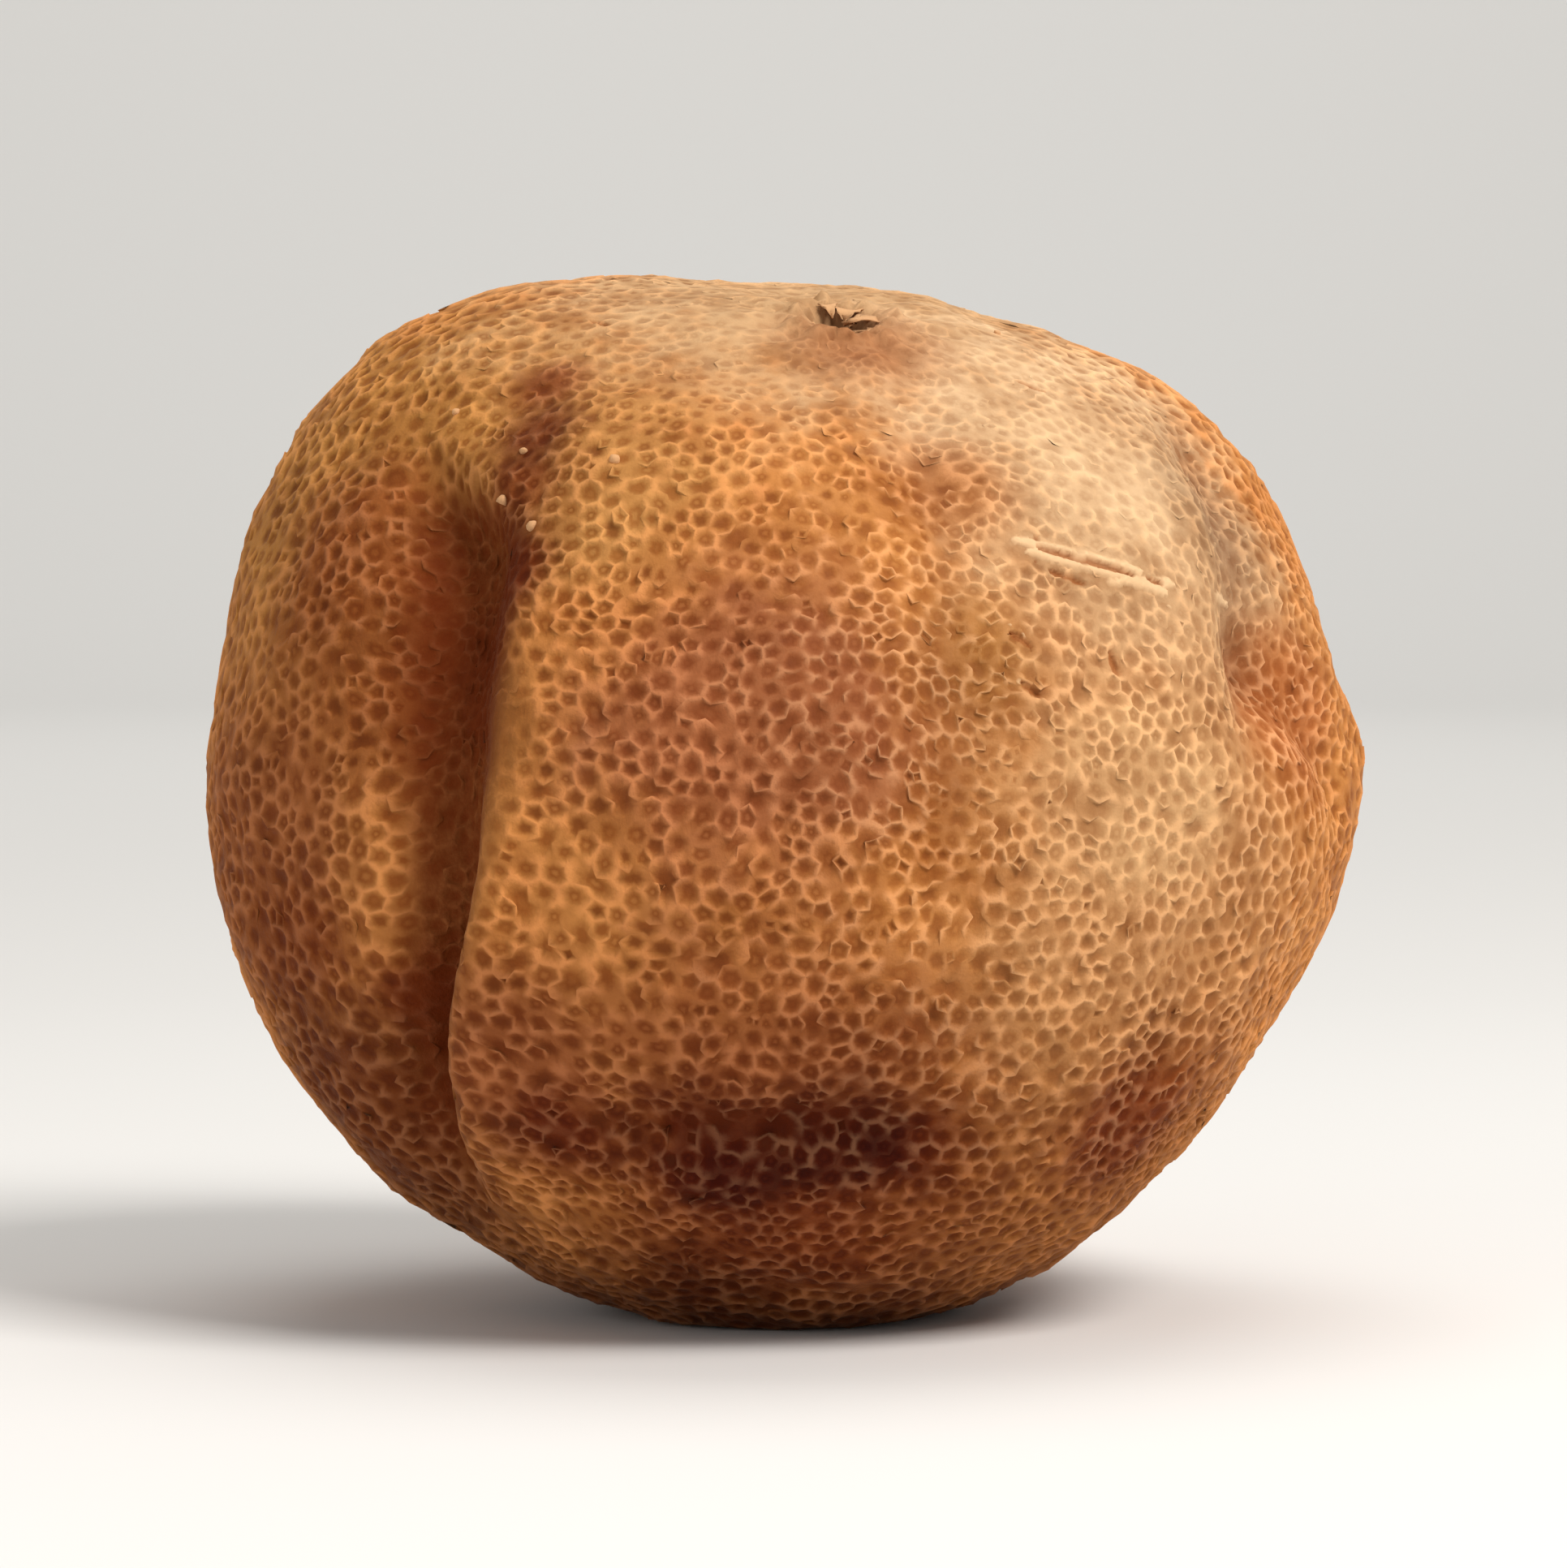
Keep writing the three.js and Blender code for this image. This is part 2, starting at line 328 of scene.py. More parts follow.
def gathered(way):
    """Draws a direction towards the crease, the right dimple and the scar.

    There the rind has shrunk together.
    """
    near = bell(angle_between(way, drawn_together), DRAWN_TOGETHER[2])
    if near > 0.01:
        step = Vector((drawn_together.x - way.x, drawn_together.y - way.y, 0.0))
        way = (way + step * DRAWN_SHARE * near).normalized()
    polar, line, per_degree, aside, strength = beside_crease(way)
    drawn = aside * (1.0 - GATHER * strength * bell(aside, GATHER_WIDTH))
    way = turned_to(way, line + drawn / per_degree)
    pulled = math.radians(polar * (1.0 - SCAR_GATHER * bell(polar, SCAR_GATHER_SPREAD)))
    waist = math.hypot(way.x, way.y)
    if waist < 1e-6:
        return way
    return Vector((way.x / waist * math.sin(pulled), way.y / waist * math.sin(pulled), math.cos(pulled)))


def crease_height(polar, aside, strength):
    tight = ramp(polar, *CREASE_TIGHTENS)
    cut = bell(aside, mixed(*(CREASE_SLOPE_WIDTHS if aside < 0.0 else CREASE_WALL_WIDTHS), tight))
    return strength * (LIP_HEIGHT * bell(aside - LIP_OFFSET, LIP_WIDTH) - CREASE_DEPTH * cut), strength * cut


def scar_height(way):
    out = math.acos(max(-1.0, min(1.0, way.z))) * POLE_RADIUS
    ragged = out + PIT_RAGGEDNESS * noise.noise(way * PIT_RAGS_PER_RADIUS)
    pit = 1.0 - ramp(ragged, PIT_WALL[0] * PIT_RADIUS, PIT_WALL[1] * PIT_RADIUS)
    torn = 0.8 + 1.5 * noise.noise(way * RIM_TEARS_PER_RADIUS)
    rim = RIM_HEIGHT * bell(out - RIM_OFFSET * PIT_RADIUS, RIM_WIDTH) * torn
    turn = PUCKERS * math.atan2(way.x, -way.y) + 3.0 * noise.noise(way * 9.0)
    pucker = PUCKER_HEIGHT * math.sin(turn) * bell(out - PUCKER_DISTANCE, PUCKER_WIDTH)
    return rim + pucker - PIT_DEPTH * pit, pit


def lumps(way):
    """The uneven shrinking of the rind between its folds."""
    return sum(height * noise.noise(way * waves) for height, waves in LUMPS)


def net_strength(way, polar, aside, strength):
    """How strong the net is, and how much of the crease's bare lip there is.

    The net is faint on the smooth top, on the pale shoulder, on the lip and in the scar.
    """
    top = mixed(SMOOTH_TOP_NET, 1.0, ramp(polar, SMOOTH_TOP_POLAR, 3.0 * SMOOTH_TOP_POLAR))
    shoulder = 1.0
    for middle, spread, share in smooth_places:
        shoulder *= 1.0 - share * bell(angle_between(way, middle), spread)
    tight = ramp(polar, *CREASE_TIGHTENS)
    lip = strength * bell(aside - mixed(*LIP_BARE_OFFSETS, tight), mixed(*LIP_BARE_WIDTHS, tight))
    lip *= ramp(polar, *LIP_BARES)
    scar = ramp(math.radians(polar) * POLE_RADIUS, PIT_RADIUS, 2.5 * PIT_RADIUS)
    return top * shoulder * (1.0 - LIP_NET_LOST * lip) * scar, lip


def rested(z):
    """The flat spot: the rind is pressed level at the surface it rests on, with a soft edge."""
    near = max(FOOT_BLEND - abs(z), 0.0) / FOOT_BLEND
    return max(z, 0.0) + near * near * FOOT_BLEND / 4.0


def skin(direction, lift):
    """The point of the rind in a direction, raised by lift.

    It comes with how much net, pit and lip there is at it, and how much painted shade its crease and furrows
    get.
    """
    way = gathered(direction)
    polar, line, per_degree, aside, strength = beside_crease(way)
    netted, lip = net_strength(way, polar, aside, strength)
    fold, fold_shade = crease_height(polar, aside, strength)
    dip, pit = scar_height(way)
    radius = body_radius(way) + fold + dip + lumps(way) + lift * netted
    for middle, spread, height in swellings:
        radius += height * bell(angle_between(way, middle), spread)
    for values in furrows:
        depth = furrow_depth(way, *values)
        radius -= depth
        fold_shade += FURROW_PAINTED_SHADE * depth
    rolled = ramp(polar, *LIP_ROLL_STARTS) * (1.0 - ramp(polar, *LIP_ROLL_ENDS))
    past_edge = max(0.0, aside - LIP_ROLL_EDGE[1])
    roll = LIP_ROLL * rolled * ramp(aside, *LIP_ROLL_EDGE) * bell(past_edge, LIP_ROLL_WIDTH)
    if roll:
        way = turned_to(way, line + (aside - roll) / per_degree)
    point = CENTRE + FROM_FRUIT_FRAME @ way * radius
    point.z = rested(point.z)
    return point * MM, netted, min(1.0, fold_shade), pit, lip


def evened(bm, verts):
    bmesh.ops.smooth_vert(
        bm, verts=verts, factor=0.5, use_axis_x=True, use_axis_y=True, use_axis_z=True)


def shaken_cells(draw):
    """A ball of many-sided cells of uneven size, from a shaken ball of triangles."""
    bm = bmesh.new()
    bmesh.ops.create_icosphere(bm, subdivisions=SPHERE_CUTS, radius=1.0)
    spacing = math.sqrt(4.0 * math.pi / len(bm.verts))
    bmesh.ops.delete(bm, geom=bm.edges[:], context="EDGES_FACES")
    for vert in bm.verts:
        shake = Vector([draw.uniform(-1.0, 1.0) for _ in range(3)])
        vert.co = (vert.co + shake * CELL_SHAKE * spacing).normalized()
    bmesh.ops.convex_hull(bm, input=bm.verts[:], use_existing_faces=False)
    loose = [vert for vert in bm.verts if not vert.link_faces]
    bmesh.ops.delete(bm, geom=loose, context="VERTS")
    for _ in range(EVENING):
        evened(bm, bm.verts[:])
    middles, spokes = bm.verts[:], bm.edges[:]
    bmesh.ops.poke(bm, faces=bm.faces[:])
    bmesh.ops.rotate_edges(bm, edges=spokes, use_ccw=False)
    bmesh.ops.dissolve_verts(bm, verts=middles)
    merged, taken = [], set()
    for edge in bm.edges:
        if draw.random() < MERGED_SHARE and not taken.intersection(edge.link_faces):
            merged.append(edge)
            taken.update(edge.link_faces)
    bmesh.ops.dissolve_edges(bm, edges=merged, use_verts=False)
    for vert in bm.verts:
        vert.co = (vert.co.normalized() + finer_towards * FINER_BY).normalized()
        vert.co += noise.noise_vector(vert.co * WANDER_PER_RADIUS) * WANDER
    return bm


def sink_floors(bm, draw):
    """Gives each cell a round floor inside its ridges, with a middle of its own.

    Ridges, floors and middles are marked for the form and the paint.
    """
    ridge = bm.verts.layers.float.new("ridge")
    tone = bm.verts.layers.float.new("tone")
    strong = bm.verts.layers.float.new("strong")
    for vert in bm.verts:
        vert[ridge] = 1.0
        kept = draw.random() < STRONG_KNOTS + STRONG_KNOTS_VARY * noise.noise(vert.co * KNOTS_PER_RADIUS)
        vert[strong] = draw.uniform(*STRONG_KNOT) if kept else draw.uniform(*WEAK_KNOT)
    floors = bm.faces[:]
    bm.normal_update()
    bmesh.ops.inset_individual(bm, faces=floors, thickness=FIRST_INSET)
    for floor in floors:
        own = draw.random()
        middle = floor.calc_center_median()
        reach = sum((vert.co - middle).length for vert in floor.verts) / len(floor.verts)
        share = FLOOR_SHARE + FLOOR_SHARE_SHAKE * draw.uniform(-1.0, 1.0)
        roundness = FLOOR_ROUNDNESS if len(floor.verts) < MERGED_FROM_SIDES else MERGED_ROUNDNESS
        for vert in floor.verts:
            step = vert.co - middle
            ragged = 1.0 + FLOOR_RAGGEDNESS * draw.uniform(-1.0, 1.0)
            vert.co = middle + step.normalized() * mixed(step.length, reach, roundness) * share * ragged
            vert[ridge] = 0.0
            vert[tone] = own
            vert[strong] = 0.5
    for vert in bmesh.ops.poke(bm, faces=floors)["verts"]:
        vert[ridge] = -1.0
        vert[tone] = vert.link_edges[0].other_vert(vert)[tone]


def draw_over_fruit(bm):
    """Carries the ball of cells onto the fruit's form."""
    ridge = bm.verts.layers.float["ridge"]
    tone = bm.verts.layers.float["tone"]
    strong = bm.verts.layers.float["strong"]
    layers = [bm.verts.layers.float.new(name) for name in ("netted", "fold_shade", "pit", "lip")]
    for vert in bm.verts:
        if vert[ridge] > 0.0:
            lift = mixed(WEAK_RIDGE_LIFT, 1.0, vert[strong])
        elif vert[ridge] < 0.0:
            lift = mixed(*MIDDLE_LIFTS, vert[tone])
        else:
            lift = mixed(*FLOOR_LIFTS, vert[tone])
        vert.co, *marks = skin(vert.co.normalized(), NET_HEIGHT * lift)
        for layer, mark in zip(layers, marks):
            vert[layer] = mark


def stroke_mask(point, start, end, half_width):
    """One on the middle of a stroke that is pointed at both ends, nought beside it."""
    onward = end - start
    share = (point - start).dot(onward) / onward.length_squared
    if not 0.0 < share < 1.0:
        return 0.0
    side = (start - CENTRE * MM).cross(end - CENTRE * MM).normalized()
    ragged = STROKE_RAGGEDNESS * half_width * noise.noise(point * STROKE_RAGS_PER_METRE)
    off = abs((point - start).dot(side)) / MM + ragged
    fullness = math.sqrt(4.0 * share * (1.0 - share))
    return 1.0 - ramp(off, STROKE_CORE * half_width, half_width * (STROKE_TIP + STROKE_SWELL * fullness))


def near_stroke(point, margin, start, end, half_width):
    """Whether a point is within a margin, in millimetres, of a stroke's side."""
    onward = end - start
    share = max(0.0, min(1.0, (point - start).dot(onward) / onward.length_squared))
    return (point - start - onward * share).length < (half_width + margin) * MM


def on_upper_front(point):
    """Whether a point of the rind is where the strokes are."""
    return point.y < 0.0 and point.z > STROKES_ABOVE * MM


def near_any(point, margin, strokes):
    return any(near_stroke(point, margin, *stroke) for stroke in strokes)


def placed_stroke(rind_tree, start, end, half_width):
    return on_front(rind_tree, *start), on_front(rind_tree, *end), half_width


def draw_strokes(bm, rind_tree):
    """The scratch and the small slits.

    The rind gets finer there, is raised at the scratch's edges and sinks in the slits.
    """
    edges = [placed_stroke(rind_tree, *stroke) for stroke in RAISED_EDGES]
    slits = [placed_stroke(rind_tree, *stroke) for stroke in SLITS]
    crossed = []
    for edge in bm.edges:
        middle = (edge.verts[0].co + edge.verts[1].co) / 2.0
        if on_upper_front(middle) and near_any(middle, FINE_MARGIN, edges + slits):
            crossed.append(edge)
    finer = bmesh.ops.subdivide_edges(bm, edges=crossed, cuts=FINE_CUTS)["geom"]
    finer_edges = [item for item in finer if isinstance(item, bmesh.types.BMEdge)]
    touched = dict.fromkeys(face for edge in finer_edges for face in edge.link_faces)
    bmesh.ops.triangulate(bm, faces=list(touched), quad_method="BEAUTY", ngon_method="BEAUTY")
    edge_layer, slit_layer = (bm.verts.layers.float.new(name) for name in ("edge", "slit"))
    netted = bm.verts.layers.float["netted"]
    upper_front = [vert for vert in bm.verts if on_upper_front(vert.co)]
    pressed = [vert for vert in upper_front if near_any(vert.co, PRESSED_MARGIN, edges)]
    for _ in range(PRESSED_SMOOTH):
        evened(bm, pressed)
    for vert in pressed:
        vert[netted] = 0.0
    outward = {}
    for vert in upper_front:
        if near_any(vert.co, FINE_MARGIN, edges + slits):
            outward[vert] = (vert.co - CENTRE * MM).normalized()
            vert[edge_layer] = max(stroke_mask(vert.co, *stroke) for stroke in edges)
            vert[slit_layer] = max(stroke_mask(vert.co, *stroke) for stroke in slits)
    for vert, way in outward.items():
        slit = vert[slit_layer]
        rise = EDGE_HEIGHT * vert[edge_layer] * (1.0 - slit) - SLIT_DEPTH * slit
        vert.co += way * rise * MM


def add_flakes(bm, loose):
    """Torn flakes of rind that stand at the edge of the pit and lean over it."""
    ridge = bm.verts.layers.float["ridge"]
    for azimuth, length, half_width, rise in FLAKES:
        turn = math.radians(azimuth)
        out = Vector((math.sin(turn), -math.cos(turn), 0.0))
        side = Vector((math.cos(turn), math.sin(turn), 0.0))
        aslant = Vector((0.0, 0.0, 1.0)) + out * math.tan(math.radians(FLAKES_FOOT))
        foot = skin(aslant.normalized(), -FLAKE_SUNK)[0]
        sheet = bmesh.ops.create_grid(bm, x_segments=4, y_segments=7, size=0.5)["verts"]
        for vert in sheet:
            across, along = vert.co.x * 2.0, vert.co.y + 0.5
            ragged = 1.0 + 0.5 * noise.noise(Vector((azimuth, 4.0 * along, across)))
            breadth = half_width * across * (1.03 - along) ** 0.6
            step = (side * breadth - out * length * along) * ragged
            cup = FLAKE_CUP * half_width * across * across
            step.z = rise * math.sin(2.2 * along) - FLAKE_DROOP * along * along + cup
            vert.co = foot + FROM_FRUIT_FRAME @ step * MM
            vert[loose] = FLAKE_PALE
            vert[ridge] = FLAKE_RIDGE
        faces = list(dict.fromkeys(face for vert in sheet for face in vert.link_faces))
        bmesh.ops.solidify(bm, geom=faces, thickness=FLAKE_THICKNESS * MM)


def add_crumbs(bm, loose, rind_tree):
    """Dry crumbs that stick to the rind."""
    for across, up, radius in CRUMBS:
        place = Matrix.Translation(on_front(rind_tree, across, up))
        crumb = bmesh.ops.create_icosphere(bm, subdivisions=2, radius=radius * MM, matrix=place)["verts"]
        for vert in crumb:
            vert.co += noise.noise_vector(vert.co * CRUMB_RAGS_PER_METRE) * CRUMB_RAGGEDNESS * radius * MM
            vert[loose] = 1.0


def place_in_order(face):
    """A number for a face by where it is, so that the faces come in one order each run."""
    middle = face.calc_center_median()
    return middle.x + 2.0 * middle.y + 3.0 * middle.z


def piece_from(bm, name, material):
    for face in bm.faces:
        face.smooth = True
    bmesh.ops.recalc_face_normals(bm, faces=bm.faces[:])
    bm.faces.sort(key=place_in_order)
    mesh = bpy.data.meshes.new(name)
    bm.to_mesh(mesh)
    bm.free()
    mesh.materials.append(material)
    piece = bpy.data.objects.new(name, mesh)
    bpy.context.scene.collection.objects.link(piece)
    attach(piece, "root")
    return piece


def paint(code):
    """A colour given as seen on screen, such as c38a50, in the linear values that shaders take."""
    parts = [int(code[at : at + 2], 16) / 255.0 for at in (0, 2, 4)]
    return [part / 12.92 if part <= 0.04045 else ((part + 0.055) / 1.055) ** 2.4 for part in parts] + [1.0]


def give(tree, socket, value):
    """Links a socket to another one, or sets it."""
    if isinstance(value, bpy.types.NodeSocket):
        tree.links.new(value, socket)
    else:
        socket.default_value = value


def add(tree, kind, settings=None, **sockets):
    node = tree.nodes.new(kind)
    for name, value in (settings or {}).items():
        setattr(node, name, value)
    for name, value in sockets.items():
        give(tree, node.inputs[name.replace("_", " ")], value)
    return node


def calc(tree, operation, first, second=0.0, third=0.0):
    node = tree.nodes.new("ShaderNodeMath")
    node.operation = operation
    for socket, value in zip(node.inputs, (first, second, third)):
        give(tree, socket, value)
    return node.outputs[0]


def span(tree, value, low, high, to_low=0.0, to_high=1.0):
    """Carries a range of values smoothly onto another one."""
    node = tree.nodes.new("ShaderNodeMapRange")
    node.interpolation_type = "SMOOTHSTEP"
    tree.links.new(value, node.inputs["Value"])
    limits = {"From Min": low, "From Max": high, "To Min": to_low, "To Max": to_high}
    for name, limit in limits.items():
        node.inputs[name].default_value = limit
    return node.outputs["Result"]


# A mix node has sockets of three kinds: these are the share, both colours and the mixed colour
COLOUR_MIX_SOCKETS = (0, 6, 7)
COLOUR_MIX_RESULT = 2


def blend(tree, share, first, second, mode="MIX"):
    node = tree.nodes.new("ShaderNodeMix")
    node.data_type = "RGBA"
    node.blend_type = mode
    for at, value in zip(COLOUR_MIX_SOCKETS, (share, first, second)):
        give(tree, node.inputs[at], value)
    return node.outputs[COLOUR_MIX_RESULT]


def noise_at(tree, place, per_metre, detail=3.0, roughness=0.55, distortion=0.0):
    node = add(tree, "ShaderNodeTexNoise", Vector=place, Scale=per_metre, Detail=detail, Roughness=roughness)
    node.inputs["Distortion"].default_value = distortion
    return node.outputs["Fac"]


def group_with(name, inputs, outputs):
    """A shader group with named inputs and outputs, each given with its kind."""
    tree = bpy.data.node_groups.new(name, "ShaderNodeTree")
    for socket, kind in inputs.items():
        tree.interface.new_socket(name=socket, in_out="INPUT", socket_type="NodeSocket" + kind)
    for socket, kind in outputs.items():
        tree.interface.new_socket(name=socket, in_out="OUTPUT", socket_type="NodeSocket" + kind)
    return tree, tree.nodes.new("NodeGroupInput").outputs, tree.nodes.new("NodeGroupOutput").inputs


def blotch_group():
    """A soft blotch about a point of the rind, its edge wandering by a shared noise."""
    inputs = {"Place": "Vector", "Wander": "Float", "Middle": "Vector"}
    inputs |= {"Radius": "Float", "Softness": "Float"}
    tree, given, result = group_with("blotch", inputs, {"Mask": "Float"})
    away = add(tree, "ShaderNodeVectorMath", {"operation": "DISTANCE"})
    tree.links.new(given["Place"], away.inputs[0])
    tree.links.new(given["Middle"], away.inputs[1])
    reach = calc(tree, "MULTIPLY_ADD", given["Wander"], given["Radius"], away.outputs["Value"])
    past = calc(tree, "DIVIDE", calc(tree, "SUBTRACT", given["Radius"], reach), given["Softness"])
    tree.links.new(span(tree, past, -1.0, 1.0), result["Mask"])
    return tree


def rind_grain_group():
    """Height of the rind's leathery grain and of the fine wrinkles that run down the fruit."""
    tree, given, result = group_with("rind_grain", {"Place": "Vector"}, {"Height": "Float", "Fleck": "Float"})
    drawn = add(tree, "ShaderNodeMapping", Vector=given["Place"], Scale=(1.0, 1.0, 0.35)).outputs["Vector"]
    wrinkles = noise_at(tree, drawn, 1500.0, 4.0, 0.6, 0.4)
    grain = noise_at(tree, given["Place"], 6500.0, 3.0, 0.6)
    height = calc(tree, "ADD", calc(tree, "MULTIPLY", wrinkles, 0.7), calc(tree, "MULTIPLY", grain, 0.3))
    tree.links.new(height, result["Height"])
    tree.links.new(noise_at(tree, given["Place"], 3200.0, 4.0, 0.65), result["Fleck"])
    return tree


# Colours of the rind as seen, and blotches of it: middle in millimetres, radius, softness, colour. The dark
# blotches low on the fruit, below about 11 mm up, are painted shade on its underside, and the dark red-brown
# ones about the crease's hollow on the upper left are partly painted shade of the crease
GROUND = "b9793e"
BLOTCHES_AND_UNDERSIDE_SHADE = (
    ((-14.0, -8.0, 32.0), 9.0, 0.5, "ad7639"),
    ((2.0, -2.0, 38.0), 11.0, 0.5, "c09a70"),
    ((10.0, -9.0, 33.0), 7.0, 0.5, "d3b088"),
    ((13.5, -12.0, 28.0), 7.5, 0.5, "be976e"),
    ((12.0, -12.5, 31.5), 3.6, 0.6, "cfac84"),
    ((17.5, -8.0, 30.0), 3.8, 0.6, "a48463"),
    ((6.0, -15.5, 31.2), 2.4, 0.6, "a8652f"),
    ((6.4, -18.5, 24.5), 2.2, 0.7, "ab743c"),
    ((-15.1, -11.0, 27.4), 4.2, 0.6, "884b20"),
    ((-7.0, -15.5, 30.5), 4.5, 0.5, "b17b42"),
    ((-1.0, -20.0, 22.0), 6.0, 0.5, "945632"),
    ((13.0, -15.0, 16.0), 7.5, 0.5, "b48050"),
    ((12.3, -15.5, 19.8), 3.4, 0.6, "c5996a"),
    ((18.5, -8.0, 22.0), 3.2, 0.5, "b06a39"),
    ((-18.0, -9.0, 17.0), 6.0, 0.5, "8e5128"),
    ((-13.5, -15.5, 24.0), 4.0, 0.5, "874a20"),
    ((-11.5, -15.0, 28.0), 2.8, 0.6, "8a4a20"),
    ((0.0, -19.0, 9.0), 6.0, 0.6, "905129"),
    ((14.0, -12.0, 7.0), 5.0, 0.5, "985c2f"),
    ((-9.0, -16.0, 10.5), 4.0, 0.6, "8f5029"),
    ((-15.0, -9.0, 7.0), 6.0, 0.5, "6a3413"),
    ((0.0, 20.0, 24.0), 12.0, 0.6, "ad713b"),
    ((-16.0, 12.0, 14.0), 9.0, 0.6, "8b5227"),
    ((16.0, 12.0, 14.0), 9.0, 0.6, "9b5f2e"),
    ((5.0, 20.0, 27.0), 5.5, 0.6, "bd8d5c"),
    ((-9.0, 18.0, 13.0), 5.0, 0.6, "93522c"),
    ((18.5, 7.0, 9.0), 4.0, 0.6, "804724"),
    ((-18.0, 7.0, 26.0), 5.0, 0.6, "b5824c"),
    ((0.0, 0.0, 0.0), 13.0, 0.5, "6f3b19"),
)

# Darker marks under the net, seen on the front: place across and up, radius, colour that they let through.
# The low ones, up to about 8 mm up, are painted shade on the underside of the front, and the one below the
# scar is painted shade in the dent round it; the others darken the left of the front
FRONT_MARKS_AND_SHADE = (
    (-8.3, 33.6, 1.4, "bd978a"),
    (-8.6, 31.9, 1.5, "a07868"),
    (-9.0, 30.2, 1.4, "bd978a"),
    (-9.2, 27.2, 1.7, "aa7c60"),
    (-9.9, 24.4, 1.5, "aa7c60"),
    (-10.2, 22.2, 1.1, "c09478"),
    (-12.6, 12.4, 1.6, "c49a80"),
    (-16.8, 13.8, 2.6, "e8d4ba"),
    (-7.6, 7.8, 2.0, "b88c72"),
    (-2.6, 7.2, 2.6, "b0826a"),
    (1.8, 8.0, 2.2, "a87a64"),
    (4.0, 7.3, 2.0, "c0967e"),
    (12.0, 7.8, 2.6, "cca28a"),
    (0.5, 4.2, 6.5, "b5896f"),
    (2.8, 35.0, 2.8, "d6b8a6"),
)
FRONT_MARK_SOFTNESS = 0.7

# Pale right side, where the floors of the cells are less dark: middle in millimetres, radius, softness
CALM_SIDE = ((13.0, -15.0, 22.0), 13.0, 0.5)
CALM_SPOTS_LOST = 0.45

# Shades that multiply the ground, colours laid over it, and how much of them shows
CLOUD_SHADE = "ccbaa8"
CLOUD_SHARE = 0.75
SPOT_SHADE = "d9c4b2"
BUBBLE_SHARE = 0.8
DEEP_SPOT = "5c2d12"
DEEP_SPOT_SHARE = 0.3
RIDGE_TINT = "e8bf90"
RIDGE_LIGHTER = (1.6, 1.5, 1.42, 1.0)
RIDGE_PALER = 0.12
RIDGE_PALER_CALM = 0.25
LIP_TINT = "8a5629"
# Painted shade laid into the crease and the furrows, by how deep they are
FOLD_PAINTED_SHADE = "602305"
FOLD_PAINTED_SHADE_SHARE = 0.9
# Darker colour in the pit of the scar
PIT_DARKENING = "451a0c"
# Painted highlight along the raised edges of the scratch
EDGE_HIGHLIGHT = "f6cfa0"
EDGE_HIGHLIGHT_SHARE = 0.55
# Darker colour in the slits
SLIT_DARKENING = "96582c"
SLIT_SHARE = 0.8
CRUMB_TINT = "d2a274"
CRUMB_SHARE = 0.8

# Gloss and bump of the rind
SPECULAR_LEVEL = 0.06
SHEEN = 0.08
SHEEN_ROUGHNESS = 0.3
SHEEN_TINT = "ffd2ae"
BUMP_STRENGTH = 0.6
BUMP_DISTANCE = 0.15 * MM


def on_front(rind_tree, across, up):
    """The point of the rind that is seen from the front at a place across and up."""
    return rind_tree.ray_cast(Vector((across, -100.0, up)) * MM, Vector((0.0, 1.0, 0.0)))[0]


